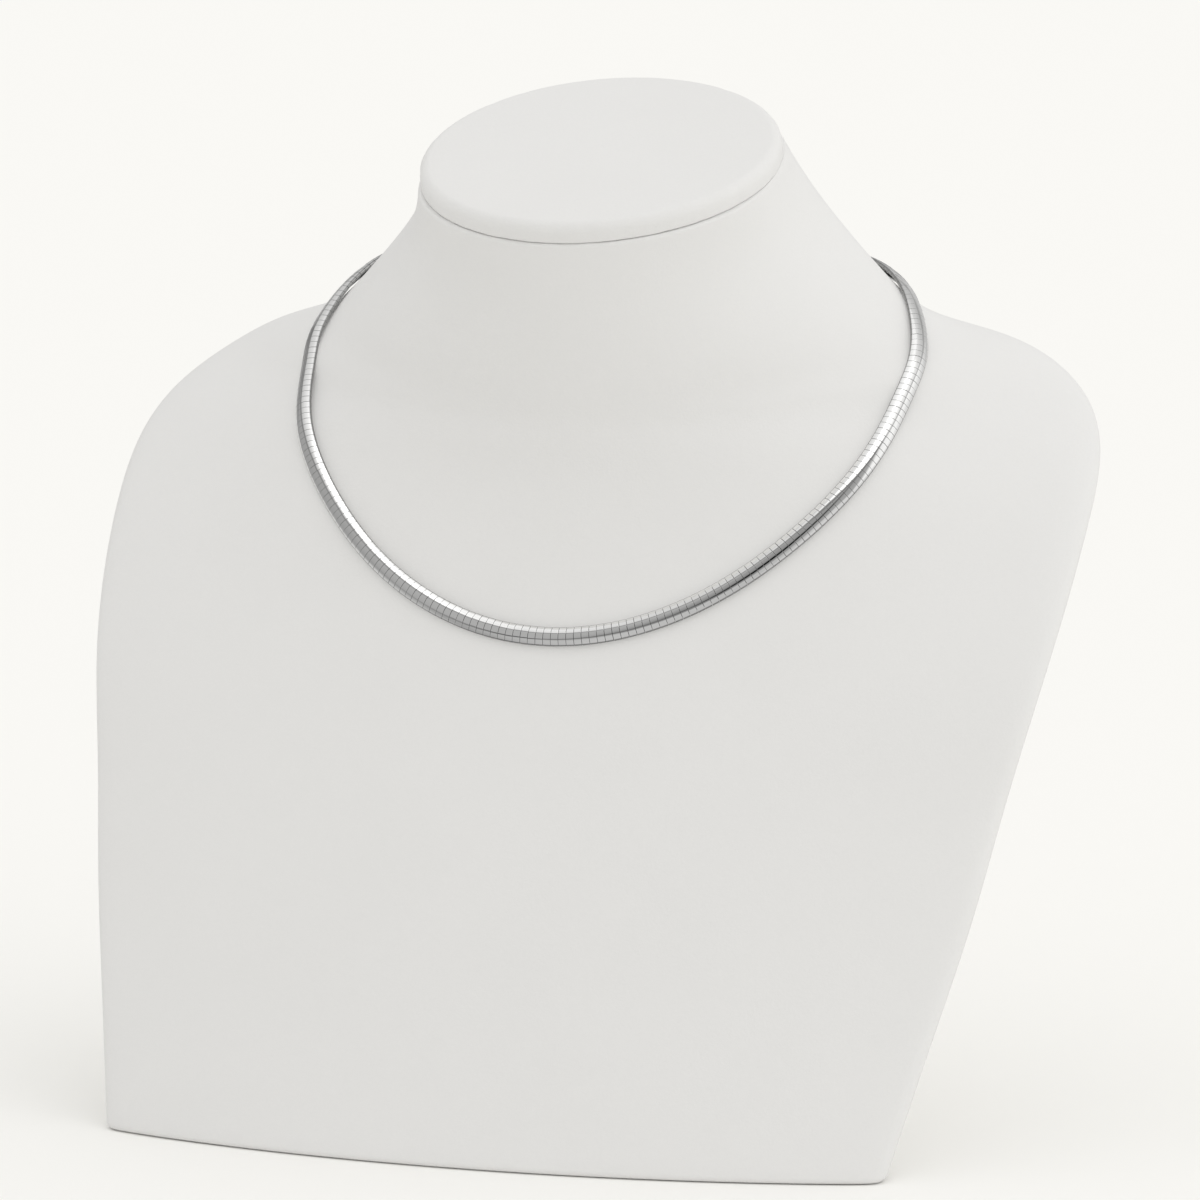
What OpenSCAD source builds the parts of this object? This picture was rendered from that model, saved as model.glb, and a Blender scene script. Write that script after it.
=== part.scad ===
// Omega necklace lying on a plain leatherette neck bust.
// Millimetres, Z up, the chest faces -Y, the bust stands on Z = 0 with its box centred on the origin.

/* [Bust] */
// Widest distance across the shoulders
shoulder_w = 244; // [210:1:280]
// Depth from the front of the base to the back of the shoulders
bust_d = 160; // [140:1:180]
// Height of the middle of the neck's top above the floor
bust_h = 223; // [200:1:250]
// Diameter of the neck at its top
neck_d = 88; // [76:1:98]
// Forward tilt of the neck's top
neck_tilt = 19.5; // [10:0.5:24]
// Half thickness of the rolled side edges
edge_r = 4; // [2:0.5:6]

/* [Neck cap] */
// Thickness of the padded cap on the neck
cap_t = 5; // [4:0.5:9]
// Radius of the cap's rounded upper edge
cap_edge_r = 2.6; // [1:0.2:3.6]
// Gap in the seam under the cap
cap_seam = 0.2; // [0.1:0.05:0.4]

/* [Necklace] */
// Length of the closed loop along its middle line
necklace_l = 457; // [440:1:475]
// Width of the band
band_w = 4.6; // [4:0.1:6]
// Thickness of the band at its crown
band_t = 1.8; // [1.6:0.1:2.4]
// Slope of the loop, front low, from level
loop_tilt = 40.5; // [38:0.5:46]
// Height by which the front and the nape lie below the loop's sloping plane, and the sides above it
loop_saddle = 5.6; // [3:0.1:7]
// Height by which the loop lies lower at its +X side and higher at its other side
loop_lean = 0.5; // [0:0.1:1]
// Distance that the band keeps from the leatherette where it rests
seat_gap = 0.6; // [0.4:0.05:1]

/* [Plates] */
// Length of band that one plate takes, before the row is evened out
plate_pitch = 1.86; // [1.86:0.02:2.4]
// Gap between two plates
plate_gap = 0.25; // [0.2:0.01:0.4]
// Sheet thickness of a plate
plate_wall = 0.3; // [0.2:0.02:0.36]
// Rise of the plate's dome across the band
dome_rise = 1.1; // [0.9:0.05:1.4]
// Length of each plate edge that is folded under the ribbon
fold_l = 0.8; // [0.5:0.05:1.1]

/* [Ribbon and clasp] */
// Thickness of the woven ribbon inside the plates
ribbon_t = 0.36; // [0.2:0.02:0.4]
// Room round the ribbon inside a plate
ribbon_play = 0.12; // [0.1:0.01:0.14]
// Length of the clasp at the nape
clasp_l = 12; // [9:0.5:15]
// Extra width and thickness of the clasp over the band
clasp_extra = 0.3; // [0.1:0.1:0.4]

/* [Hidden] */

shoulder_r = shoulder_w / 2;
neck_r = neck_d / 2;

// The bust, from the floor to the root of the neck, one row for each level.
// Height is a share of bust_h and half width of shoulder_r. The front line, the side edge and the
// back line are shares of bust_d from the front of the base. Fullness bends each half of a level:
// 1 is an ellipse, 2 a plain bow and more a peak. Edge is a share of edge_r, tilt of neck_tilt.
LEVELS = [
    // height, half width, front, side, back, front fullness, back fullness, edge, tilt
    [0.000, 0.780, 0.000, 0.105, 0.810, 1.80, 2.00, 0.75, 0.00],
    [0.135, 0.837, 0.095, 0.205, 0.840, 1.80, 2.00, 0.75, 0.00],
    [0.245, 0.887, 0.170, 0.290, 0.860, 1.80, 2.00, 0.75, 0.00],
    [0.360, 0.921, 0.250, 0.370, 0.885, 1.80, 2.00, 0.75, 0.00],
    [0.465, 0.963, 0.330, 0.440, 0.910, 1.85, 2.00, 0.80, 0.00],
    [0.555, 0.990, 0.395, 0.537, 0.935, 2.00, 2.00, 1.00, 0.00],
    [0.635, 1.003, 0.440, 0.640, 0.955, 2.25, 2.00, 1.30, 0.05],
    [0.693, 1.002, 0.460, 0.737, 0.970, 2.45, 2.00, 1.70, 0.15],
    [0.740, 0.964, 0.460, 0.828, 0.985, 2.45, 2.00, 2.10, 0.28],
    [0.778, 0.877, 0.460, 0.900, 0.995, 2.20, 1.90, 2.40, 0.40],
    [0.808, 0.775, 0.455, 0.895, 1.005, 1.85, 1.75, 2.50, 0.52],
    [0.823, 0.630, 0.450, 0.830, 0.990, 1.55, 1.45, 2.20, 0.66],
    [0.863, 0.550, 0.440, 0.790, 0.975, 1.30, 1.15, 1.70, 0.82],
    [0.950, 0.403, 0.420, 0.778, 0.960, 1.10, 1.00, 1.20, 0.95]
];
// Place of the neck's middle between the front and the back of the bust
NECK_SHARE = 0.68;
neck_y = bust_d * (NECK_SHARE - 0.5);

// The levels in millimetres, with the round top of the neck as the last
rows = concat(
    [for (r = LEVELS) [
        bust_h * r[0],
        shoulder_r * r[1],
        bust_d * (r[2] - 0.5),
        bust_d * (r[3] - 0.5),
        bust_d * (r[4] - 0.5),
        r[5],
        r[6],
        edge_r * r[7],
        neck_tilt * r[8]
    ]],
    [[bust_h, neck_r, neck_y - neck_r, neck_y, neck_y + neck_r, 1, 1, edge_r, neck_tilt]]
);
last = len(rows) - 1;

// How tightly the rolled side edge turns, against its own thickness
ROLL_POWER = 2;

// Cubic spline between b and c, with the values before and after them
function spline(a, b, c, d, f) =
    let (g = 1 - f)
    (g * g * g * a
        + (3 * f * f * f - 6 * f * f + 4) * b
        + (3 * g * g * g - 6 * g * g + 4) * c
        + f * f * f * d) / 6;

// Smooth value between the rows: v counts rows from the floor
function level(v) =
    let (i = min(max(floor(v), 0), last - 1))
    let (b = rows[i], c = rows[i + 1])
    spline(i > 0 ? rows[i - 1] : 2 * b - c, b, c, i < last - 1 ? rows[i + 2] : 2 * c - b, v - i);

// A point of the bust: t goes round a level from the right edge over the front (90) and the left
// edge to the back (270), v goes up the rows
function bust_point(t, v) =
    let (r = level(v), c = cos(t), s = sin(t))
    let (reach = s > 0 ? r[3] - r[2] : r[4] - r[3])
    let (bow = (reach - r[7]) * pow(abs(s), s > 0 ? r[5] : r[6]))
    let (roll = r[7] * sqrt(max(0, 1 - pow(abs(c), ROLL_POWER * r[1] / r[7]))))
    let (y = -sign(s) * (bow + roll))
    [r[1] * c, r[3] + y * cos(r[8]), r[0] + y * sin(r[8])];

// Outward direction at a point of the bust
STEP = 0.05;
function bust_normal(t, v) =
    let (p = bust_point(t, v))
    let (n = cross(bust_point(t + STEP, v) - p, bust_point(t, v + STEP / 20) - p))
    -n / norm(n);

// Facets of the bust: points round a level, and levels for each row of the table
AROUND = 64;
RISES = 3;
levels = last * RISES + 1;

module bust_body() {
    points = [for (i = [0 : levels - 1], j = [0 : AROUND - 1]) bust_point(360 * j / AROUND, i / RISES)];
    sides = [for (i = [0 : levels - 2], j = [0 : AROUND - 1])
        let (a = i * AROUND + j, b = i * AROUND + (j + 1) % AROUND)
        each [[a, b + AROUND, a + AROUND], [a, b, b + AROUND]]];
    floor_face = [[for (j = [AROUND - 1 : -1 : 0]) j]];
    top_face = [[for (j = [0 : AROUND - 1]) (levels - 1) * AROUND + j]];
    color([0.93, 0.93, 0.92])
        polyhedron(points, concat(sides, floor_face, top_face));
}

// The padded cap on the neck: a disc with a rounded upper edge, flush with the neck
module neck_cap() {
    color([0.95, 0.95, 0.93])
        translate([0, neck_y, bust_h])
            rotate([neck_tilt, 0, 0])
                translate([0, 0, cap_seam])
                    rotate_extrude($fn = 96)
                        cap_outline();
}

module cap_outline() {
    side_h = cap_t - cap_edge_r;
    square([neck_r, side_h]);
    square([neck_r - cap_edge_r, cap_t]);
    translate([neck_r - cap_edge_r, side_h])
        intersection() {
            circle(cap_edge_r, $fn = 48);
            square(cap_edge_r);
        }
}

// Directions round the bust at which the loop rests on it, from the front over +X to the nape
// and on over the other side
HALF_ROUND = [90, 78, 66, 54, 42, 25, 5, -15, -35, -60, -90];
REST_ANGLES = concat(HALF_ROUND, [for (k = [len(HALF_ROUND) - 2 : -1 : 1]) 180 - HALF_ROUND[k]]);
// Rows of the bust between which the loop can lie
LOW_ROW = 3;
HIGH_ROW = last;
HALVINGS = 16;

// Height of a point over the loop's surface: a sloping plane through the neck's axis at height z,
// bent to a saddle and leaning a little to one side
function over_loop(p, z) =
    let (y = p.y - neck_y, h = p.z - z)
    let (ahead = -(y * cos(loop_tilt) + h * sin(loop_tilt)))
    let (up = h * cos(loop_tilt) - y * sin(loop_tilt))
    let (out = norm([ahead, p.x]))
    up + loop_saddle * (ahead * ahead - p.x * p.x) / (out * out) + loop_lean * p.x / out;

// The band's middle line over the bust at direction t and row v
function band_point(t, v) = bust_point(t, v) + (seat_gap + band_t / 2) * bust_normal(t, v);

// Row at which that line crosses the loop's surface, found by halving
function rest_row(t, z, low = LOW_ROW, high = HIGH_ROW, n = HALVINGS) =
    let (v = (low + high) / 2)
    n == 0 ? v :
    over_loop(band_point(t, v), z) < 0 ? rest_row(t, z, v, high, n - 1) : rest_row(t, z, low, v, n - 1);

// Points and outward directions where the loop rests, all the way round from the front
function rests(z) = [for (t = REST_ANGLES)
    let (v = rest_row(t, z))
    [band_point(t, v), bust_normal(t, v)]];

// Closed smooth curve: a cubic spline with the given controls
function smooth_at(c, u) =
    let (n = len(c), i = floor(u))
    spline(c[(i + n - 1) % n], c[i % n], c[(i + 1) % n], c[(i + 2) % n], u - i);

// Controls of a curve that lies as far out as the points p, and runs straighter than they do
// sideways: each control is moved along the outward direction n of its point
function controls(p, n, c, times = 4) =
    times == 0 ? c :
    controls(p, n, [for (k = [0 : len(p) - 1]) c[k] + ((p[k] - smooth_at(c, k)) * n[k]) * n[k]], times - 1);

// The loop at height z: controls of its middle line and of its outward direction
function loop_at(z) =
    let (r = rests(z), p = [for (k = r) k[0]], n = [for (k = r) k[1]])
    [controls(p, n, p), n];

// Distance run along the loop, as pairs of distance and curve value
SAMPLES = 20;
function runs(c) =
    let (n = len(c) * SAMPLES)
    let (p = [for (k = [0 : n]) smooth_at(c, k / SAMPLES)])
    [for (k = 0, d = 0; k <= n; k = k + 1, d = d + (k <= n ? norm(p[k] - p[k - 1]) : 0)) [d, k / SAMPLES]];
function run_length(c) = let (r = runs(c)) r[len(r) - 1][0];

// The loop slides down the neck until its whole length is used, found by halving
SLIDE_LOW = 0.5;
SLIDE_HIGH = 0.9;
function loop_height(low = bust_h * SLIDE_LOW, high = bust_h * SLIDE_HIGH, n = HALVINGS) =
    let (z = (low + high) / 2)
    n == 0 ? z :
    run_length(loop_at(z)[0]) > necklace_l ? loop_height(z, high, n - 1) : loop_height(low, z, n - 1);

loop = loop_at(loop_height());
run = runs(loop[0]);
// Step along the curve over which its direction is taken
TINY_TURN = 0.01;

// Frame of the band at a distance from the middle of its front: across, along, outwards, place
function band_frame(d) =
    let (turn = len(loop[0]), u = lookup((d + necklace_l) % necklace_l, run))
    let (before = smooth_at(loop[0], (u - TINY_TURN + turn) % turn))
    let (after = smooth_at(loop[0], (u + TINY_TURN) % turn))
    let (along = (after - before) / norm(after - before))
    let (side = cross(along, smooth_at(loop[1], u % turn)))
    let (across = side / norm(side))
    [across, along, cross(across, along), smooth_at(loop[0], u % turn)];

// Places what is drawn across X and up Z, along Y, on the band
module on_band(d) {
    f = band_frame(d);
    multmatrix([
        [f[0].x, f[1].x, f[2].x, f[3].x],
        [f[0].y, f[1].y, f[2].y, f[3].y],
        [f[0].z, f[1].z, f[2].z, f[3].z],
        [0, 0, 0, 1]
    ]) children();
}

// The clasp is centred at the nape, and the plates fill the rest evenly
nape = necklace_l / 2;
plates_l = necklace_l - clasp_l - plate_gap;
plate_count = floor(plates_l / plate_pitch);
even_pitch = plates_l / plate_count;

dome_r = (band_w * band_w / 4 + dome_rise * dome_rise) / (2 * dome_rise);

// Section of a plate: a dome with square sides, folded under at both edges
module plate_section() {
    inside_w = band_w - 2 * plate_wall;
    difference() {
        dome(0);
        dome(plate_wall);
        translate([0, -band_t / 2])
            square([inside_w - 2 * fold_l, 3 * plate_wall], center = true);
    }
}

// Outline of the band, drawn in by an even wall
module dome(wall) {
    intersection() {
        translate([0, band_t / 2 - dome_r])
            circle(dome_r - wall, $fn = 64);
        square([band_w - 2 * wall, band_t - 2 * wall], center = true);
    }
}

module dome_plates() {
    color([0.80, 0.81, 0.83])
        for (k = [0 : plate_count - 1])
            on_band(nape + clasp_l / 2 + plate_gap / 2 + (k + 0.5) * even_pitch)
                rotate([90, 0, 0])
                    linear_extrude(even_pitch - plate_gap, center = true)
                        plate_section();
}

// Solid of one section carried along the band from one distance to another
module along_band(section, from, to, pieces) {
    n = len(section);
    points = [for (k = [0 : pieces])
        let (f = band_frame(from + (to - from) * k / pieces))
        for (q = section) f[3] + q.x * f[0] + q.y * f[2]];
    sides = [for (k = [0 : pieces - 1], j = [0 : n - 1])
        let (a = k * n + j, b = k * n + (j + 1) % n)
        each [[a, b, b + n], [a, b + n, a + n]]];
    start_face = [[for (j = [n - 1 : -1 : 0]) j]];
    end_face = [[for (j = [0 : n - 1]) pieces * n + j]];
    polyhedron(points, concat(sides, start_face, end_face));
}

// The woven ribbon that holds the plates in a row
RIBBON_NARROWING = 0.3;
RIBBON_PIECES = 160;
ribbon_w = band_w - 2 * plate_wall - 2 * dome_rise * RIBBON_NARROWING;

module mesh_ribbon() {
    low = -band_t / 2 + plate_wall + ribbon_play;
    high = low + ribbon_t;
    half = ribbon_w / 2;
    reach = clasp_l / 2 + ribbon_play;
    color([0.62, 0.63, 0.65])
        along_band(
            [[-half, low], [half, low], [half, high], [-half, high]],
            nape + reach,
            nape + necklace_l - reach,
            RIBBON_PIECES
        );
}

// The clasp: one plain domed box that closes the loop at the nape
CLASP_PIECES = 6;
CLASP_ARC = 8;

module clasp() {
    half = band_w / 2 + clasp_extra;
    top = band_t / 2 + clasp_extra;
    low = -band_t / 2;
    shoulder = top - dome_rise;
    section = concat(
        [[-half, low], [half, low]],
        [for (k = [0 : CLASP_ARC])
            let (x = half * cos(180 * k / CLASP_ARC))
            [x, shoulder + dome_rise * (1 - x * x / (half * half))]]
    );
    color([0.78, 0.79, 0.81])
        along_band(section, nape - clasp_l / 2, nape + clasp_l / 2, CLASP_PIECES);
}

bust_body();
neck_cap();
dome_plates();
mesh_ribbon();
clasp();
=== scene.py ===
import bpy
import numpy as np
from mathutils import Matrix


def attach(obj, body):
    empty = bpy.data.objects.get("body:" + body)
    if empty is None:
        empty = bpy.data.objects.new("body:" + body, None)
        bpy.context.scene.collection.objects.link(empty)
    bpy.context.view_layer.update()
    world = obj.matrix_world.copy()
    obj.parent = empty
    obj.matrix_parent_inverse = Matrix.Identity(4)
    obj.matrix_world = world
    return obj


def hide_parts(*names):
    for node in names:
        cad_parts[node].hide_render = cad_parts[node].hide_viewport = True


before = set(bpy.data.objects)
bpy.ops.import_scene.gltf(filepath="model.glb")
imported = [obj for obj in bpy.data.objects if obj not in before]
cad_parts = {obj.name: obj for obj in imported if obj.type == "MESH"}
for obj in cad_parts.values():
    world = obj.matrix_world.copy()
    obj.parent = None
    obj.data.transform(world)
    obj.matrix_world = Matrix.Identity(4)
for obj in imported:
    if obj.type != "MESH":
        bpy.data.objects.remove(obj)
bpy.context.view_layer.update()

# Camera
# It looks at the chest a little from the right and from above, through a long lens.
CAMERA_AZIMUTH = np.radians(16.6)
CAMERA_ELEVATION = np.radians(9)
CAMERA_DISTANCE = 1.6
CAMERA_LENS = 196.8
LOOK_AT = np.array([0, 0.0272, 0.1173])

towards_camera = np.array([
    np.sin(CAMERA_AZIMUTH) * np.cos(CAMERA_ELEVATION),
    -np.cos(CAMERA_AZIMUTH) * np.cos(CAMERA_ELEVATION),
    np.sin(CAMERA_ELEVATION),
])
camera = bpy.data.objects.new("camera", bpy.data.cameras.new("camera"))
camera.data.lens = CAMERA_LENS
camera.location = LOOK_AT + CAMERA_DISTANCE * towards_camera
camera.rotation_euler = (np.pi / 2 - CAMERA_ELEVATION, 0, CAMERA_AZIMUTH)
bpy.context.scene.collection.objects.link(camera)
bpy.context.scene.camera = camera

# Neck bust
# A rigid form of chest, shoulders and neck, covered with pale embossed leatherette that is
# drawn round the thin side edges and turned in under the base and at the top of the neck.
SHOULDER_W = 0.244
BUST_D = 0.160
BUST_H = 0.223
NECK_D = 0.088
NECK_TILT = np.radians(19.5)
NECK_SHARE = 0.68
EDGE_R = 0.004
ROLL_POWER = 2
NECK_Y = BUST_D * (NECK_SHARE - 0.5)

# One row for each level from the floor to the root of the neck. Height is a share of BUST_H and
# half width of half SHOULDER_W. The front line, the side edge and the back line are shares of
# BUST_D. Fullness bends each half of a level. Edge is a share of EDGE_R, tilt of NECK_TILT.
LEVELS = [
    # height, half width, front, side, back, front fullness, back fullness, edge, tilt
    [0.000, 0.780, 0.000, 0.105, 0.810, 1.80, 2.00, 0.75, 0.00],
    [0.135, 0.837, 0.095, 0.205, 0.840, 1.80, 2.00, 0.75, 0.00],
    [0.245, 0.887, 0.170, 0.290, 0.860, 1.80, 2.00, 0.75, 0.00],
    [0.360, 0.921, 0.250, 0.370, 0.885, 1.80, 2.00, 0.75, 0.00],
    [0.465, 0.963, 0.330, 0.440, 0.910, 1.85, 2.00, 0.80, 0.00],
    [0.555, 0.990, 0.395, 0.537, 0.935, 2.00, 2.00, 1.00, 0.00],
    [0.635, 1.003, 0.440, 0.640, 0.955, 2.25, 2.00, 1.30, 0.05],
    [0.693, 1.002, 0.460, 0.737, 0.970, 2.45, 2.00, 1.70, 0.15],
    [0.740, 0.964, 0.460, 0.828, 0.985, 2.45, 2.00, 2.10, 0.28],
    [0.778, 0.877, 0.460, 0.900, 0.995, 2.20, 1.90, 2.40, 0.40],
    [0.808, 0.775, 0.455, 0.895, 1.005, 1.85, 1.75, 2.50, 0.52],
    [0.823, 0.630, 0.450, 0.830, 0.990, 1.55, 1.45, 2.20, 0.66],
    [0.863, 0.550, 0.440, 0.790, 0.975, 1.30, 1.15, 1.70, 0.82],
    [0.950, 0.403, 0.420, 0.778, 0.960, 1.10, 1.00, 1.20, 0.95],
]
SHARE_OF = [BUST_H, SHOULDER_W / 2, BUST_D, BUST_D, BUST_D, 1, 1, EDGE_R, NECK_TILT]
SHIFT = np.array([0, 0, -BUST_D / 2, -BUST_D / 2, -BUST_D / 2, 0, 0, 0, 0])
neck_top = [
    BUST_H, NECK_D / 2, NECK_Y - NECK_D / 2, NECK_Y, NECK_Y + NECK_D / 2, 1, 1, EDGE_R, NECK_TILT,
]
rows = np.vstack([np.array(LEVELS) * SHARE_OF + SHIFT, neck_top])
TOP_ROW = len(rows) - 1.0


def spline(a, b, c, d, f):
    """Cubic spline between b and c, with a before and d after them: a sum of the four, weighted by
    g^3, 3f^3 - 6f^2 + 4, 3g^3 - 6g^2 + 4 and f^3 over 6, where g is 1 - f."""
    g = 1 - f
    return (g**3 * a + (3 * f**3 - 6 * f**2 + 4) * b + (3 * g**3 - 6 * g**2 + 4) * c + f**3 * d) / 6


def level(v):
    """The table's values at row v, a smooth curve through the rows, straight at both ends."""
    padded = np.vstack([2 * rows[0] - rows[1], rows, 2 * rows[-1] - rows[-2]])
    i = np.clip(np.floor(v).astype(int), 0, len(rows) - 2)
    return spline(padded[i], padded[i + 1], padded[i + 2], padded[i + 3], (v - i)[..., None])


def bust_point(t, v):
    """A point of the bust at angle t round level v, from the right edge over the front. x is the
    half width times cos t. y leaves the side edge by the level's reach times sin t to the power
    of its fullness, plus the rolled edge, the root of 1 - cos t to a high power."""
    t, v = np.broadcast_arrays(np.asarray(t, float), np.asarray(v, float))
    height, half_w, front, side, back, front_full, back_full, edge, tilt = np.moveaxis(level(v), -1, 0)
    c, s = np.cos(t), np.sin(t)
    reach = np.where(s > 0, side - front, back - side)
    bow = (reach - edge) * np.abs(s) ** np.where(s > 0, front_full, back_full)
    roll = edge * np.sqrt(np.maximum(0, 1 - np.abs(c) ** (ROLL_POWER * half_w / edge)))
    y = -np.sign(s) * (bow + roll)
    return np.stack([half_w * c, side + y * np.cos(tilt), height + y * np.sin(tilt)], -1)


def unit(vectors):
    """Vectors divided by their lengths."""
    return vectors / np.linalg.norm(vectors, axis=-1, keepdims=True)


def grid_quads(across, along, closed=True):
    """Quads between neighbours in a grid of points, row after row of across points. A closed grid
    also joins the last point of each row to its first."""
    i, j = np.mgrid[0:along - 1, 0:across if closed else across - 1]
    k = (j + 1) % across
    row, next_row = i * across, (i + 1) * across
    return np.stack([row + j, row + k, next_row + k, next_row + j], -1).reshape(-1, 4)


def new_piece(name, points, faces, material):
    """A smooth shaded mesh object from an array of points in metres and lists of faces."""
    mesh = bpy.data.meshes.new(name)
    mesh.from_pydata(points.reshape(-1, 3).tolist(), [], faces)
    mesh.validate()
    mesh.shade_smooth()
    mesh.materials.append(material)
    piece = bpy.data.objects.new(name, mesh)
    bpy.context.scene.collection.objects.link(piece)
    return piece


class Socket:
    """A node's output in a node tree. Sums, products and the like of it add Math nodes."""

    def __init__(self, tree, output=None):
        self.tree = tree
        self.output = output

    def node(self, kind, settings=(), inputs=(), output=0):
        """Adds a node of this kind: its settings first, then each input's value or link."""
        node = self.tree.nodes.new(kind)
        for name, value in dict(settings).items():
            if name == "stops":
                self.set_stops(node.color_ramp, value)
            else:
                setattr(node, name, value)
        for name, value in dict(inputs).items():
            if isinstance(value, Socket):
                self.tree.links.new(value.output, node.inputs[name])
            else:
                node.inputs[name].default_value = value
        return Socket(self.tree, node.outputs[output] if node.outputs else None)

    @staticmethod
    def set_stops(ramp, stops):
        """Gives a ramp its stops, each a place from 0 to 1 and a grey level."""
        while len(ramp.elements) < len(stops):
            ramp.elements.new(1)
        for element, (place, grey) in zip(ramp.elements, stops):
            element.position = place
            element.color = (grey, grey, grey, 1)

    def math(self, operation, first, second=0.0):
        return self.node("ShaderNodeMath", {"operation": operation}, {0: first, 1: second})

    def __add__(self, other):
        return self.math("ADD", self, other)

    def __sub__(self, other):
        return self.math("SUBTRACT", self, other)

    def __rsub__(self, other):
        return self.math("SUBTRACT", other, self)

    def __mul__(self, other):
        return self.math("MULTIPLY", self, other)

    __radd__ = __add__
    __rmul__ = __mul__


def mixed(factor, first, second):
    """A colour between two colours, by a socket that goes from 0 to 1."""
    return factor.node(
        "ShaderNodeMix", {"data_type": "RGBA"}, {0: factor, 6: first, 7: second}, "Result"
    )


def new_finish(name):
    """An empty node material, and a start for its sockets."""
    material = bpy.data.materials.new(name)
    material.use_nodes = True
    material.node_tree.nodes.clear()
    return material, Socket(material.node_tree)


# Leatherette: fine pebbled grain over a faint, larger unevenness, matt with a soft sheen
LEATHER_LIGHT = (0.785, 0.781, 0.770, 1)
LEATHER_SHADE = (0.750, 0.746, 0.735, 1)
LEATHER_ROUGHNESS = 0.62
ROUGHNESS_CHANGE = 0.1
LEATHER_SHEEN = 0.3
PEBBLES_PER_METRE = 1500
PORES_PER_METRE = 3600
MOTTLES_PER_METRE = 38
PEBBLE_HEIGHT = 0.7
PORE_HEIGHT = 0.5
GRAIN_DEPTH = 0.00006
GRAIN_STRENGTH = 0.5
MOTTLE_TINT = 0.55
GRAIN_TINT = 0.35


def leatherette(name):
    """Embossed leatherette. The grain's height is a sum of pebbles, the distances to scattered
    points, and of fine noise for the pores. Height and a slow noise mix the two tints."""
    material, start = new_finish(name)
    place = start.node("ShaderNodeTexCoord", output="Object")
    pebbles = start.node(
        "ShaderNodeTexVoronoi", {"feature": "F1"}, {"Vector": place, "Scale": PEBBLES_PER_METRE}
    )
    pores = start.node(
        "ShaderNodeTexNoise", inputs={"Vector": place, "Scale": PORES_PER_METRE, "Detail": 1}
    )
    mottle = start.node(
        "ShaderNodeTexNoise", inputs={"Vector": place, "Scale": MOTTLES_PER_METRE, "Detail": 2}
    )
    height = PEBBLE_HEIGHT * pebbles + PORE_HEIGHT * pores
    colour = mixed(MOTTLE_TINT * mottle + GRAIN_TINT * height, LEATHER_LIGHT, LEATHER_SHADE)
    bump = start.node(
        "ShaderNodeBump",
        inputs={"Strength": GRAIN_STRENGTH, "Distance": GRAIN_DEPTH, "Height": height},
    )
    skin = start.node("ShaderNodeBsdfPrincipled", inputs={
        "Base Color": colour,
        "Roughness": LEATHER_ROUGHNESS + ROUGHNESS_CHANGE * (mottle - 0.5),
        "Specular IOR Level": LEATHER_SHEEN,
        "Normal": bump,
    })
    start.node("ShaderNodeOutputMaterial", inputs={"Surface": skin})
    return material


ROUND = 320
RISES = 190
TURN_IN_STEPS = 5
BASE_TURN_R = 0.0015
TOP_TURN_R = 0.0007
TOP_TURN_CHANGE = 0.35
TOP_TURN_WAVES = [9, 14, 23, 37, 58]
BASE_RINGS = 8
# The seam under the cap opens most at this angle, and by these shares of its full width: the
# middle one, and how far it swings round the neck
SEAM_WIDEST = np.radians(125)
SEAM_MIDDLE = 0.55
SEAM_SWING = 0.4


def uneven(t, size, waves, seed):
    """A wavy closed line: a sum of sines of t with the given numbers of waves and random phases,
    about size high."""
    phase = np.random.default_rng(seed).uniform(0, 2 * np.pi, len(waves))
    return size * sum(np.sin(n * t + p) for n, p in zip(waves, phase)) / np.sqrt(len(waves))


def turned_in(t, end, step, inward, radius):
    """Rings of a wall's edge as it turns in: ring a runs up the wall to its end by step times sin a
    and in by radius times 1 - cos a, with a from 0 to a right angle."""
    a = np.linspace(0, np.pi / 2, TURN_IN_STEPS)[:, None]
    ring = bust_point(t, end - step * (1 - np.sin(a)))
    return ring + ((1 - np.cos(a)) * radius)[..., None] * inward


def rings_to_middle(ring, middle, shares):
    """Rings drawn in from a closed line towards a middle point, by shares of the way."""
    return middle + (1 - np.array(shares))[:, None, None] * (ring - middle)


t = np.linspace(0, 2 * np.pi, ROUND, endpoint=False)
base_line = bust_point(t, 0.0)
base_along = np.roll(base_line, -1, 0) - np.roll(base_line, 1, 0)
base_inward = unit(np.cross(base_along, [0, 0, 1]))
neck_axis = np.array([0, -np.sin(NECK_TILT), np.cos(NECK_TILT)])
neck_middle = np.array([0, NECK_Y, BUST_H])
top_inward = unit(neck_middle - bust_point(t, TOP_ROW))
base_step = BASE_TURN_R / (rows[1, 0] - rows[0, 0])
top_step = TOP_TURN_R / (rows[-1, 0] - rows[-2, 0])
base_turn = turned_in(t, 0.0, -base_step, base_inward, BASE_TURN_R)
seam_open = SEAM_MIDDLE + SEAM_SWING * np.cos(t - SEAM_WIDEST)
top_turn_r = TOP_TURN_R * seam_open * (1 + uneven(t, TOP_TURN_CHANGE, TOP_TURN_WAVES, seed=3))
top_turn = turned_in(t, TOP_ROW, top_step, top_inward, top_turn_r)
wall_v = np.linspace(base_step, TOP_ROW - top_step, RISES)[1:-1, None]
base_middle = base_line.mean(0)
drawn_in = np.linspace(0, 1, BASE_RINGS)[1:]
bust_grid = np.concatenate([
    rings_to_middle(base_turn[-1], base_middle, drawn_in)[::-1],
    base_turn[::-1],
    bust_point(t, wall_v),
    top_turn,
    rings_to_middle(top_turn[-1], neck_middle, drawn_in),
])
bust = new_piece(
    "leatherette_bust", bust_grid, grid_quads(ROUND, len(bust_grid)).tolist(), leatherette("leatherette")
)
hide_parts("bust_body")
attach(bust, "root")

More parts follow.
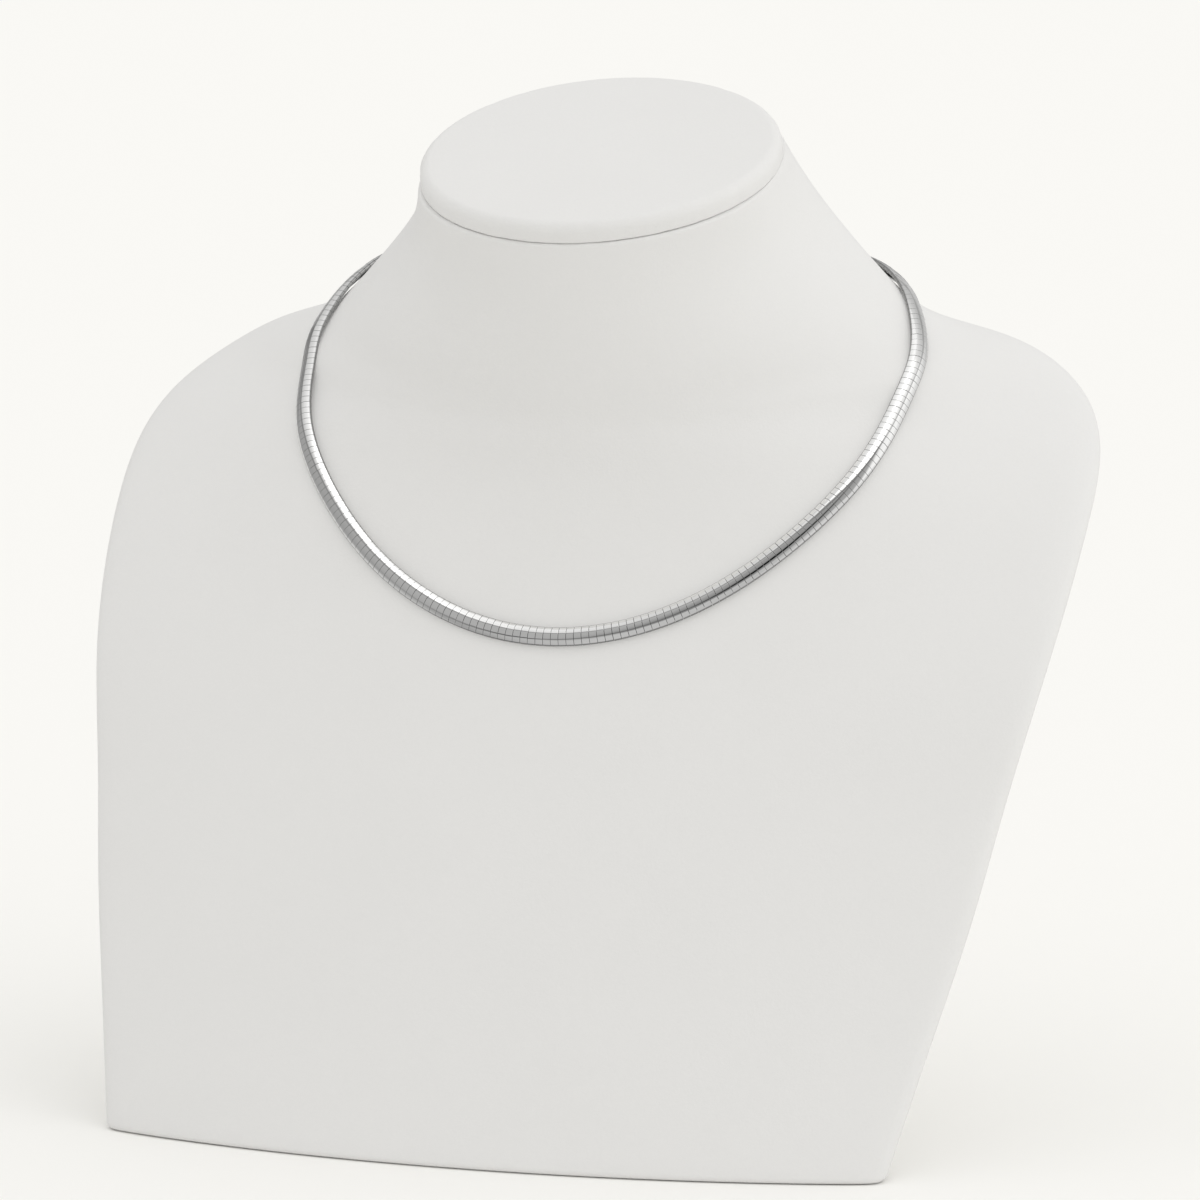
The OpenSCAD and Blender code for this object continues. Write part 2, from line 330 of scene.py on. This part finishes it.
# Neck cap
# A padded disc under the same leatherette, turned in round its rim and set flush on the neck,
# where the two turned edges leave a fine seam.
CAP_T = 0.005
CAP_EDGE_R = 0.0026
CAP_FOOT_R = 0.0004
CAP_SEAM = 0.0002
CAP_CROWN = 0.0004
CAP_WAVE = 0.0001
CAP_WAVES = [5, 8, 13, 21, 34, 55]
RIM_POWER = 8
CAP_RINGS = 26
CAP_EDGE_STEPS = 12

cap_r = NECK_D / 2
foot_a = np.linspace(0, np.pi / 2, TURN_IN_STEPS)
edge_a = np.linspace(0, np.pi / 2, CAP_EDGE_STEPS)
top_shares = np.linspace(0, 1, CAP_RINGS)[1:]
top_run = (cap_r - CAP_EDGE_R) * (1 - top_shares)
# The cap's outline from the middle of its underside to the middle of its top: distance out, height
cap_out = np.concatenate([
    np.linspace(0, cap_r - CAP_FOOT_R, BASE_RINGS)[:-1],
    cap_r - CAP_FOOT_R + CAP_FOOT_R * np.sin(foot_a),
    cap_r - CAP_EDGE_R + CAP_EDGE_R * np.cos(edge_a),
    top_run,
])
cap_up = np.concatenate([
    np.zeros(BASE_RINGS - 1),
    CAP_FOOT_R * (1 - np.cos(foot_a)),
    CAP_T - CAP_EDGE_R + CAP_EDGE_R * np.sin(edge_a),
    CAP_T + CAP_CROWN * (1 - (top_run / (cap_r - CAP_EDGE_R)) ** 2),
])
cap_right = np.array([1, 0, 0])
cap_front = np.cross(cap_right, neck_axis)
rim = (cap_out / cap_r)[:, None] ** RIM_POWER
wave = uneven(t, CAP_WAVE, CAP_WAVES, seed=7)
out = cap_out[:, None] - rim * np.abs(wave)
up = cap_up[:, None] + seam_open * (CAP_SEAM + rim * wave / 2)
cap_grid = (
    neck_middle
    + (out * np.cos(t))[..., None] * cap_right
    + (out * np.sin(t))[..., None] * cap_front
    + up[..., None] * neck_axis
)
cap = new_piece(
    "leatherette_cap", cap_grid, grid_quads(ROUND, len(cap_grid)).tolist(), leatherette("cap_leatherette")
)
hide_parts("neck_cap")
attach(cap, "root")

# Woven ribbon
# A flat ribbon woven of fine silver wire runs inside the plates from one end of the clasp to the
# other, and holds them in a row. It shows only in the seams between them.
NECKLACE_L = 0.457
BAND_W = 0.0046
BAND_T = 0.0018
LOOP_TILT = np.radians(40.5)
LOOP_SADDLE = 0.0056
LOOP_LEAN = 0.0005
SEAT_GAP = 0.0006
# Directions round the bust at which the loop rests on it, in degrees from +X over the front: from
# the middle of the front to the nape, and the same on over the other side
HALF_ROUND = np.array([90, 78, 66, 54, 42, 25, 5, -15, -35, -60, -90])
REST_ANGLES = np.radians(np.concatenate([HALF_ROUND, 180 - HALF_ROUND[-2:0:-1]]))
# The loop is sought above this row of the bust's table, and between these shares of BUST_H
LOW_ROW = 3
LOOP_LOWEST = 0.5
LOOP_HIGHEST = 0.9
HALVINGS = 20
CONTROL_MOVES = 4
CURVE_SAMPLES = 4000


def band_rest(t, v):
    """Where the band's middle line rests over the bust at angle t and row v, and the direction
    outwards there, from the cross product of two short steps along the surface."""
    step = 1e-4
    point = bust_point(t, v)
    outward = unit(np.cross(bust_point(t, v + step) - point, bust_point(t + step, v) - point))
    return point + (SEAT_GAP + BAND_T / 2) * outward, outward


def over_loop(point, z):
    """Height of a point over the loop's surface: a plane that slopes down to the front through the
    neck's axis at height z, bent to a saddle by the cosine of twice the angle round the axis and
    leaning by the sine of that angle."""
    x, y, h = point[..., 0], point[..., 1] - NECK_Y, point[..., 2] - z
    ahead = -(y * np.cos(LOOP_TILT) + h * np.sin(LOOP_TILT))
    up = h * np.cos(LOOP_TILT) - y * np.sin(LOOP_TILT)
    out = np.hypot(ahead, x)
    return up + LOOP_SADDLE * (ahead**2 - x**2) / out**2 + LOOP_LEAN * x / out


def halved(low, high, is_low):
    """Halves the way between low and high again and again, keeping the side where is_low turns."""
    for _ in range(HALVINGS):
        middle = (low + high) / 2
        below = is_low(middle)
        low, high = np.where(below, middle, low), np.where(below, high, middle)
    return (low + high) / 2


def closed_curve(controls, u):
    """Closed cubic spline with the given controls, at places u counted in controls."""
    i = np.floor(u).astype(int)
    return spline(*(controls[(i + k) % len(controls)] for k in (-1, 0, 1, 2)), (u - i)[..., None])


def loop_at(z):
    """Controls of the loop at height z and its outward directions: the points where the sloping
    surface crosses the bust, moved outwards until the curve lies as far out as they do."""
    v = halved(
        np.full(len(REST_ANGLES), LOW_ROW), np.full(len(REST_ANGLES), TOP_ROW),
        lambda v: over_loop(band_rest(REST_ANGLES, v)[0], z) < 0,
    )
    points, outward = band_rest(REST_ANGLES, v)
    controls = points
    for _ in range(CONTROL_MOVES):
        short = points - closed_curve(controls, np.arange(len(points), dtype=float))
        controls = controls + (short * outward).sum(1)[:, None] * outward
    return controls, outward


def run_along(controls):
    """Distance run along the closed curve, at evenly counted places."""
    u = np.linspace(0, len(controls), CURVE_SAMPLES)
    steps = np.linalg.norm(np.diff(closed_curve(controls, u), axis=0), axis=1)
    return u, np.concatenate([[0], np.cumsum(steps)])


loop_height = halved(
    LOOP_LOWEST * BUST_H, LOOP_HIGHEST * BUST_H,
    lambda z: run_along(loop_at(z)[0])[1][-1] > NECKLACE_L,
)
loop_controls, loop_outward = loop_at(loop_height)
loop_u, loop_run = run_along(loop_controls)


def band_frame(distance):
    """The band's place at a distance from the middle of its front, and its directions across,
    along and outwards."""
    turn = len(loop_controls)
    tiny = 0.01
    u = np.interp(distance % NECKLACE_L, loop_run, loop_u)
    before, after = (closed_curve(loop_controls, (u + d) % turn) for d in (-tiny, tiny))
    along = unit(after - before)
    across = unit(np.cross(along, closed_curve(loop_outward, u % turn)))
    return closed_curve(loop_controls, u % turn), across, along, np.cross(across, along)


def on_band(distance, x, z):
    """Points at a distance along the band, x across it and z outwards from its middle line."""
    place, across, _, outwards = band_frame(distance)
    return place + np.asarray(x)[..., None] * across + np.asarray(z)[..., None] * outwards


NAPE = NECKLACE_L / 2
CLASP_L = 0.012
PLATE_WALL = 0.0003
DOME_RISE = 0.0011
RIBBON_T = 0.00036
RIBBON_PLAY = 0.00012
# The ribbon stays clear of the plates' leaning sides by this share of the dome's rise
RIBBON_NARROWING = 0.3
RIBBON_W = BAND_W - 2 * PLATE_WALL - 2 * DOME_RISE * RIBBON_NARROWING
RIBBON_STATIONS = 1200
WIRE_PITCH = 0.00032
WIRE_RELIEF = 0.00005
RELIEF_STRENGTH = 0.6
WIRE_ROUGHNESS = 0.34
CROSSING_POLISH = 0.1
# The wire's silver, painted shade in the weave's grooves, and dark painted shade for the face that shows
# in the seams
WIRE_SILVER = (0.62, 0.62, 0.615, 1)
GROOVE_PAINTED_SHADE = (0.25, 0.25, 0.25, 1)
SEAM_PAINTED_SHADE = (0.07, 0.07, 0.072, 1)


def woven_silver():
    """Two sets of wires cross over and under: the product of two sine waves, one along the ribbon
    and one across it. The grooves between the wires get painted shade. An attribute named inside
    puts dark painted shade on the face turned to the plates, which shows in the seams."""
    material, start = new_finish("woven_silver")
    place = start.node("ShaderNodeUVMap", {"uv_map": "length"})
    axes = start.node("ShaderNodeSeparateXYZ", inputs={0: place})
    along = start.math("SINE", (2 * np.pi / WIRE_PITCH) * axes)
    across = Socket(start.tree, axes.output.node.outputs[1])
    over = start.math("SINE", (2 * np.pi / WIRE_PITCH) * across)
    weave = 0.5 + 0.5 * along * over
    inside = start.node("ShaderNodeAttribute", {"attribute_name": "inside"}, output="Fac")
    bump = start.node(
        "ShaderNodeBump",
        inputs={"Strength": RELIEF_STRENGTH, "Distance": WIRE_RELIEF, "Height": weave},
    )
    wire = start.node("ShaderNodeBsdfPrincipled", inputs={
        "Base Color": mixed(inside, mixed(weave, GROOVE_PAINTED_SHADE, WIRE_SILVER), SEAM_PAINTED_SHADE),
        "Metallic": 1.0,
        "Roughness": WIRE_ROUGHNESS - CROSSING_POLISH * weave,
        "Normal": bump,
    })
    start.node("ShaderNodeOutputMaterial", inputs={"Surface": wire})
    return material


def add_lengths(piece, name, lengths):
    """Gives a piece a UV map in metres, from an array of two lengths for each point."""
    mesh = piece.data
    corners = np.empty(len(mesh.loops), int)
    mesh.loops.foreach_get("vertex_index", corners)
    layer = mesh.uv_layers.new(name=name)
    layer.data.foreach_set("uv", lengths.reshape(-1, 2)[corners].ravel())


ribbon_low = -BAND_T / 2 + PLATE_WALL + RIBBON_PLAY
ribbon_middle = ribbon_low + RIBBON_T / 2
ribbon_side = np.array([-1, -0.94, -0.5, 0, 0.5, 0.94, 1, 0.94, 0.5, 0, -0.5, -0.94]) * RIBBON_W / 2
ribbon_face = np.array([0, -1, -1, -1, -1, -1, 0, 1, 1, 1, 1, 1]) * RIBBON_T / 2
ribbon_reach = CLASP_L / 2 + RIBBON_PLAY
ribbon_run = np.linspace(NAPE + ribbon_reach, NAPE + NECKLACE_L - ribbon_reach, RIBBON_STATIONS)[:, None]
ribbon_grid = on_band(ribbon_run, ribbon_side, ribbon_middle + ribbon_face)


def closed_tube(grid):
    """Faces of a tube whose rings are the rows of a grid, with a face over each end."""
    rings, round_points = grid.shape[:2]
    first_end = list(range(round_points))[::-1]
    last_end = list(range((rings - 1) * round_points, rings * round_points))
    return grid_quads(round_points, rings).tolist() + [first_end, last_end]


ribbon = new_piece("woven_ribbon", ribbon_grid, closed_tube(ribbon_grid), woven_silver())
# The face turned to the plates, which shows in the seams between them, gets the dark painted shade
inside = np.tile(ribbon_face > 0, RIBBON_STATIONS).astype(float)
ribbon.data.attributes.new("inside", "FLOAT", "POINT").data.foreach_set("value", inside)
add_lengths(ribbon, "length", np.stack(np.broadcast_arrays(ribbon_run, ribbon_side + ribbon_face), -1))
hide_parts("mesh_ribbon")
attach(ribbon, "root")

# Domed plates
# Short plates of bright polished silver, each pressed to a dome and folded round both edges of
# the ribbon. They sit close together, and no two lie quite alike, so the reflections step.
PLATE_PITCH = 0.00186
PLATE_SEAM = 0.00007
SEAM_CHANGE = 0.00002
CLASP_CLEARANCE = 0.000125
PLATE_ROUNDING = 0.00005
FOLD_L = 0.0008
CORNER_R = 0.00018
# Points across the dome as shares of its half arc, from the edge near the neck, and how far the
# polished face turns towards the neck at most
DOME_SHARES = np.array([-1, -0.88, -0.45, 0, 0.45, 0.88, 1])
INNER_TILT = np.radians(33)
# Which way a fold's tip, the fold's outer end and the foot of the wall face, turned from outwards
UNDER_FACING = np.radians([180, 165, 105])
# How much a plate lies off by chance: rolled across the band, pitched along it, lifted
PLATE_ROLL = np.radians(0.45)
PLATE_PITCHING = np.radians(0.30)
PLATE_LIFT = 0.000012
POLISH_ROUGHNESS = 0.045
CLOUD_ROUGHNESS = 0.05
CLOUD_TONE = 0.97
CLOUDS_PER_METRE = 240
WIPES_PER_METRE = 2600
WIPE_DEPTH = 0.00001
WIPE_STRENGTH = 0.05
SILVER = (0.93, 0.93, 0.925, 1)
# Painted shade: a dark silver laid along the dome's edges, on the folds, walls and ends, and inside
PAINTED_EDGE_SHADE = (0.25, 0.25, 0.248, 1)
# How much painted shade the folds and walls get, and the rounded ends, where 0 is SILVER and 1 the full
# painted shade
FOLD_PAINTED_SHADE = 0.8
END_PAINTED_SHADE = 0.5


def polished_silver(name, roughness):
    """Mirror polish with a trace of fine wiping marks, a noise, and a slow noise that changes its
    tone and roughness. Where a piece has an attribute named edge, it mixes in painted shade, a dark
    silver."""
    material, start = new_finish(name)
    place = start.node("ShaderNodeTexCoord", output="Object")
    wiping = start.node(
        "ShaderNodeTexNoise", inputs={"Vector": place, "Scale": WIPES_PER_METRE, "Detail": 3}
    )
    cloud = start.node(
        "ShaderNodeTexNoise", inputs={"Vector": place, "Scale": CLOUDS_PER_METRE, "Detail": 2}
    )
    bump = start.node(
        "ShaderNodeBump",
        inputs={"Strength": WIPE_STRENGTH, "Distance": WIPE_DEPTH, "Height": wiping},
    )
    edge = start.node("ShaderNodeAttribute", {"attribute_name": "edge"}, output="Fac")
    polished = mixed(cloud, SILVER, [CLOUD_TONE * c for c in SILVER[:3]] + [1])
    silver = start.node("ShaderNodeBsdfPrincipled", inputs={
        "Base Color": mixed(edge, polished, PAINTED_EDGE_SHADE),
        "Metallic": 1.0,
        "Roughness": roughness + CLOUD_ROUGHNESS * (cloud - 0.5),
        "Normal": bump,
    })
    start.node("ShaderNodeOutputMaterial", inputs={"Surface": silver})
    return material


half_w = BAND_W / 2
dome_r = (half_w**2 + DOME_RISE**2) / (2 * DOME_RISE)
dome_a = np.arcsin(half_w / dome_r) * DOME_SHARES
fold_tip = half_w - PLATE_WALL - FOLD_L
low = -BAND_T / 2


def across_plate(fold_side, dome):
    """A line across the band from one fold's tip over the dome to the other's. fold_side has a
    row for each side, from the fold's tip up, and the second is reversed to follow the dome."""
    return np.concatenate([fold_side[0], dome, fold_side[1][::-1]])


# The plate's outside and inside as x and z, and the direction that the outside faces. Polishing
# has flattened the dome a little along its upper edge.
side_x = np.array([fold_tip, half_w - CORNER_R, half_w])
side_z = np.array([low, low, low + CORNER_R])
outer_x = across_plate([-side_x, side_x], dome_r * np.sin(dome_a))
outer_z = across_plate([side_z, side_z], BAND_T / 2 - dome_r * (1 - np.cos(dome_a)))
dome_facing = np.where(DOME_SHARES > -1, np.maximum(dome_a, -INNER_TILT), dome_a)
outer_facing = across_plate([-UNDER_FACING, UNDER_FACING], dome_facing)
inner_r = dome_r - PLATE_WALL
inner_half = half_w - PLATE_WALL
inner_a = np.arcsin(inner_half / inner_r) * DOME_SHARES
inner_side_x = np.array([fold_tip, inner_half, inner_half])
inner_x = across_plate([-inner_side_x, inner_side_x], inner_r * np.sin(inner_a))
inner_side_z = side_z + PLATE_WALL
inner_z = across_plate([inner_side_z, inner_side_z], BAND_T / 2 - dome_r + inner_r * np.cos(inner_a))
# Six rings make a plate: the outside with both ends rounded off, and the inside. Each has a place
# along the plate from -1 to 1, an inset of the outline, its wall, and a lean towards the end.
plate_l_share = np.array([-1, -1, 1, 1, 1, -1])
plate_end = np.array([0, 1, 1, 0, 0, 0]) * PLATE_ROUNDING
plate_inset = np.array([1, 0, 0, 1, 0, 0]) * PLATE_ROUNDING
is_outside = np.array([1, 1, 1, 1, 0, 0])[:, None]
ring_x = np.where(is_outside, outer_x, inner_x) - plate_inset[:, None] * np.sin(outer_facing)
ring_z = np.where(is_outside, outer_z, inner_z) - plate_inset[:, None] * np.cos(outer_facing)
lean = np.radians([60, 0, 0, 60, 90, 90])[:, None] * plate_l_share[:, None]

plates_l = NECKLACE_L - CLASP_L - 2 * CLASP_CLEARANCE
plate_count = int(plates_l / PLATE_PITCH)
even_pitch = plates_l / plate_count
plate_middle = NAPE + CLASP_L / 2 + CLASP_CLEARANCE + (np.arange(plate_count) + 0.5) * even_pitch
hand = np.random.default_rng(11)
roll = hand.normal(0, PLATE_ROLL, plate_count)[:, None, None]
pitching = hand.normal(0, PLATE_PITCHING, plate_count)[:, None, None]
lift = hand.normal(0, PLATE_LIFT, plate_count)[:, None, None]
seam = PLATE_SEAM + hand.uniform(-SEAM_CHANGE, SEAM_CHANGE, plate_count)[:, None]
from_middle = plate_l_share * ((even_pitch - seam) / 2 - plate_end)
place, across, along, outwards = band_frame(plate_middle[:, None] + from_middle)
x = ring_x * np.cos(roll) + ring_z * np.sin(roll)
z = ring_z * np.cos(roll) - ring_x * np.sin(roll) + np.tan(pitching) * from_middle[:, :, None] + lift
plate_grid = place[:, :, None] + x[..., None] * across[:, :, None] + z[..., None] * outwards[:, :, None]
facing = outer_facing + roll
plate_normals = unit(
    (np.cos(lean) * np.sin(facing))[..., None] * across[:, :, None]
    + (np.cos(lean) * np.cos(facing))[..., None] * outwards[:, :, None]
    + (np.sin(lean) - np.tan(pitching) * np.cos(facing) * np.cos(lean))[..., None] * along[:, :, None]
)
points_round = len(outer_x)
plate_rings = len(plate_l_share)
one_plate = np.array([
    [i * points_round + j, i * points_round + j + 1, k * points_round + j + 1, k * points_round + j]
    for i in range(plate_rings) for k in [(i + 1) % plate_rings] for j in range(points_round - 1)
])
first_tip = np.arange(plate_rings) * points_round
plate_points = plate_rings * points_round
starts = (np.arange(plate_count) * plate_points)[:, None, None]
plate_quads = (starts + one_plate).reshape(-1, 4).tolist()
both_tips = np.stack([first_tip, first_tip[::-1] + points_round - 1])
plate_tips = (starts + both_tips).reshape(-1, plate_rings).tolist()
plates = new_piece(
    "domed_plates", plate_grid, plate_quads + plate_tips,
    polished_silver("polished_silver", POLISH_ROUGHNESS),
)
plates.data.normals_split_custom_set_from_vertices(plate_normals.reshape(-1, 3).tolist())
# Painted shade, 1 along both edges of the dome and on the inside, less on the folds and at the ends
round_edge_painted_shade = across_plate(np.full((2, len(UNDER_FACING)), FOLD_PAINTED_SHADE), np.abs(DOME_SHARES) == 1)
end_painted_shade = np.array([END_PAINTED_SHADE, 0, 0, END_PAINTED_SHADE, 1, 1])[:, None]
edge = np.tile(np.maximum(round_edge_painted_shade, end_painted_shade).ravel(), plate_count)
plates.data.attributes.new("edge", "FLOAT", "POINT").data.foreach_set("value", edge)
# In such soft light the band leaves hardly a shadow, so the ribbon alone shades the leatherette
plates.visible_diffuse = False
plates.visible_shadow = False
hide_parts("dome_plates")
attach(plates, "root")

# Clasp
# One plain domed box of the same silver closes the loop at the nape. Its ends are rounded, and a
# fine line near one end is where its tongue goes in.
CLASP_EXTRA = 0.0003
CLASP_CORNER = 0.00025
CLASP_ARC = 14
CLASP_ROUGHNESS = 0.09
# Place along the clasp as a share of its half length, and how far the outline is drawn in there
CLASP_STATIONS = [
    # place, drawn in
    [-1.000, 0.00035], [-0.990, 0.00016], [-0.965, 0.00004], [-0.930, 0.0],
    [-0.5, 0.0], [0.0, 0.0], [0.5, 0.0],
    [0.600, 0.0], [0.606, 0.00010], [0.614, 0.00010], [0.620, 0.0],
    [0.930, 0.0], [0.965, 0.00004], [0.990, 0.00016], [1.000, 0.00035],
]
clasp_half = half_w + CLASP_EXTRA
clasp_top = BAND_T / 2 + CLASP_EXTRA
clasp_flat = clasp_half - CLASP_CORNER
clasp_side = low + CLASP_CORNER
arc = np.linspace(1, -1, CLASP_ARC) * (1 - CLASP_CORNER / clasp_half / 2)
clasp_x = np.concatenate([[-clasp_flat, 0, clasp_flat, clasp_half], clasp_half * arc, [-clasp_half]])
clasp_z = np.concatenate([[low, low, low, clasp_side], clasp_top - DOME_RISE * arc**2, [clasp_side]])
clasp_centre = (clasp_top + low) / 2
clasp_table = np.array(CLASP_STATIONS)
clasp_run = NAPE + clasp_table[:, :1] * CLASP_L / 2
clasp_shrink = clasp_table[:, 1:]
clasp_grid = on_band(
    clasp_run,
    clasp_x * (1 - clasp_shrink / clasp_half),
    clasp_centre + (clasp_z - clasp_centre) * (1 - clasp_shrink / (clasp_top - clasp_centre)),
)
clasp = new_piece(
    "box_clasp", clasp_grid, closed_tube(clasp_grid), polished_silver("clasp_silver", CLASP_ROUGHNESS)
)
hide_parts("clasp")
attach(clasp, "root")

# Studio
# A wide pale floor under an even pale sky. The silver mirrors a room of its own: a bright
# ceiling, grey walls, a dark line round them and a bright screen at the right.
FLOOR_R = 9.0
FLOOR_SIDES = 64
FLOOR_DROP = 0.0002
PALE = (0.898, 0.892, 0.868, 1)
SKY_TINT = (1, 0.996, 0.988, 1)

floor_material, start = new_finish("pale_floor")
paint = start.node("ShaderNodeBsdfPrincipled", inputs={
    "Base Color": PALE,
    "Roughness": 1.0,
    "Specular IOR Level": 0.0,
})
start.node("ShaderNodeOutputMaterial", inputs={"Surface": paint})
floor_t = np.linspace(0, 2 * np.pi, FLOOR_SIDES, endpoint=False)
floor_z = np.full(FLOOR_SIDES, -FLOOR_DROP)
floor_points = np.stack([FLOOR_R * np.cos(floor_t), FLOOR_R * np.sin(floor_t), floor_z], -1)
floor = new_piece("floor", floor_points, [list(range(FLOOR_SIDES))], floor_material)
# The silver mirrors the floor of its own room instead
floor.visible_glossy = False

world = bpy.data.worlds.new("studio")
bpy.context.scene.world = world
world.use_nodes = True
world.node_tree.nodes.clear()
start = Socket(world.node_tree)
direction = start.node("ShaderNodeTexCoord", output="Generated")
parts = start.node("ShaderNodeSeparateXYZ", inputs={0: direction})
right, ahead, high = (Socket(start.tree, parts.output.node.outputs[k]) for k in range(3))
elevation = start.math("ARCSINE", high) * (180 / np.pi)
azimuth = start.math("ARCTAN2", right, 0.0 - ahead) * (180 / np.pi)
turn = (azimuth + 180.0) * (1 / 360)


def round_room(stops, low=0.0, high=1.0):
    """A value from low to high that changes round the room: stops are pairs of degrees from the
    front, with the right positive, and the value there."""
    places = [((degrees + 180) / 360, (value - low) / (high - low)) for degrees, value in stops]
    return turn.node("ShaderNodeValToRGB", {"stops": places}, {0: turn}) * (high - low) + low


def share(value):
    """A socket kept between 0 and 1."""
    return value.math("MINIMUM", 1.0, value.math("MAXIMUM", 0.0, value))


def near(value, middle, half, steep=1.8):
    """1 where a socket is close to a middle, falling to 0 at half on both sides: steep times
    1 minus the distance over half, kept between 0 and 1."""
    return share(steep - steep * value.math("DIVIDE", value.math("ABSOLUTE", value - middle), half))


# How bright the silver sees the walls, the floor, the lower edge of the ceiling's light and the
# light overhead, and how dark the line is. In degrees of elevation: where the floor ends, where the
# light begins and is full, where the dark line runs and its half height.
walls = round_room([
    (-180, 0.62), (-150, 0.60), (-132, 0.42), (-120, 0.32), (-100, 0.36), (-60, 0.37), (-30, 0.45),
    (-15, 0.43), (0, 0.33), (15, 0.31), (45, 0.34), (72, 0.38), (84, 0.95), (105, 1.00), (120, 0.80),
    (150, 0.52), (180, 0.62),
])
floor_light = round_room([
    (-180, 0.60), (-120, 0.66), (-85, 0.62), (-50, 0.36), (-25, 0.48), (0, 0.56), (30, 0.54),
    (50, 0.52), (65, 0.66), (90, 0.74), (150, 0.74), (180, 0.60),
])
floor_end = round_room([
    (-180, 0), (-120, -2), (-75, -10), (-40, -12), (-20, -4), (0, 2), (45, 4), (60, 12), (80, 4), (180, 0),
], -15, 15)
ceiling_low = round_room([
    (-180, 20), (-135, 28), (-120, 36), (-90, 44), (-60, 51), (-45, 55), (-30, 61), (-15, 63), (0, 62),
    (15, 59), (30, 57), (45, 54), (60, 52), (75, 49), (90, 44), (180, 44),
], 0, 90)
ceiling_full = round_room([
    (-180, 88), (-60, 86), (-30, 74), (0, 70), (75, 65), (110, 88), (180, 88),
], 0, 90)
ceiling_edge = round_room([
    (-180, 0.60), (-60, 0.60), (-45, 0.64), (-30, 0.8), (-15, 1.2), (15, 1.5), (60, 1.4), (80, 1.1),
    (100, 0.75), (120, 0.62), (150, 0.50), (180, 0.55),
], 0, 2)
ceiling_light = round_room([
    (-180, 1.1), (-60, 1.2), (-30, 1.8), (0, 2.0), (45, 1.8), (80, 1.3), (110, 0.9), (180, 1.0),
], 0, 2)
line_height = round_room([
    (-180, 5), (-140, 3), (-120, 28), (-105, 20), (-60, 0), (-45, -7), (-24, 0), (-12, 5), (0, 10),
    (15, 17), (31, 23), (41, 34), (54, 48), (80, 48), (103, 41), (131, 36), (160, 34), (180, 30),
], -10, 50)
line_dark = round_room([
    (-180, 0.45), (-132, 0.4), (-118, 0.4), (-100, 0), (-60, 0.1), (-40, 0.35), (-24, 0.75), (-10, 0.55),
    (3, 0.45), (14, 0.7), (22, 0.97), (35, 0.95), (44, 0.45), (54, 0.2), (80, 0.25), (103, 0.2),
    (131, 0.4), (150, 0.35), (165, 0), (172, 0), (180, 0.45),
])
line_half = round_room([
    (-180, 9), (-35, 8), (-18, 4.5), (10, 4.5), (20, 12), (36, 12), (48, 5), (180, 5),
], 0, 12)
# Over how many degrees the floor and the ceiling's light blend into the walls
FLOOR_BLEND = 4
CEILING_BLEND = 6.25
# A darker strip runs just under the ceiling's light: how dark, where it is and its half height
STRIP_DARK = 0.35
STRIP_PLACE = -2.0
STRIP_HALF = 5.0
# The room is shaded beside the dark line, right of the front: how dark, the azimuth in its middle,
# and its half width and half height
SHADE_DARK = 0.25
SHADE_AZIMUTH = 22.0
SHADE_HALF_WIDTH = 40.0
SHADE_HALF_HEIGHT = 20.0
shade_place = near(azimuth, SHADE_AZIMUTH, SHADE_HALF_WIDTH)
shade = SHADE_DARK * shade_place * near(elevation, line_height, SHADE_HALF_HEIGHT)
room = walls + (floor_light - walls) * share((floor_end - elevation) * (1 / FLOOR_BLEND))
room = room * (1 - shade)
lit = share(start.math("DIVIDE", elevation - ceiling_low, ceiling_full - ceiling_low))
ceiling = ceiling_edge + (ceiling_light - ceiling_edge) * lit * lit
room = room + (ceiling - room) * share((elevation - ceiling_low) * (1 / CEILING_BLEND))
room = room * (1 - STRIP_DARK * near(elevation - ceiling_low, STRIP_PLACE, STRIP_HALF))
mirrored = room * (1 - line_dark * near(elevation, line_height, line_half))

# The sky that lights the leatherette: brightest at the right, less above and at the left, and
# least behind the camera, each side weighted by the square of the direction towards it
SKY_RIGHT, SKY_LEFT, SKY_BACK, SKY_FRONT, SKY_TOP = 1.42, 0.88, 0.82, 0.69, 1.17


def side_of_sky(direction, strength):
    """The sky's light from one side: strength times the square of the direction, if above 0."""
    return strength * start.math("POWER", start.math("MAXIMUM", direction, 0.0), 2.0)


soft_sky = (
    side_of_sky(right, SKY_RIGHT) + side_of_sky(0.0 - right, SKY_LEFT)
    + side_of_sky(ahead, SKY_BACK) + side_of_sky(0.0 - ahead, SKY_FRONT) + side_of_sky(high, SKY_TOP)
)
# The camera sees plain background, the silver sees the room, and the leatherette sees the soft
# sky, also in what the silver throws back at it
seen = start.node("ShaderNodeLightPath", output="Is Camera Ray")
glossy = start.node("ShaderNodeLightPath", output="Is Glossy Ray")
scattered = start.node("ShaderNodeLightPath", output="Diffuse Depth")
direct = glossy * share(1 - scattered)
strength = direct * mirrored + (1 - direct) * soft_sky
light = start.node("ShaderNodeBackground", inputs={
    "Color": mixed(seen, SKY_TINT, PALE),
    "Strength": seen + (1 - seen) * strength,
})
start.node("ShaderNodeOutputWorld", inputs={"Surface": light})
bpy.context.scene.view_settings.view_transform = "Standard"
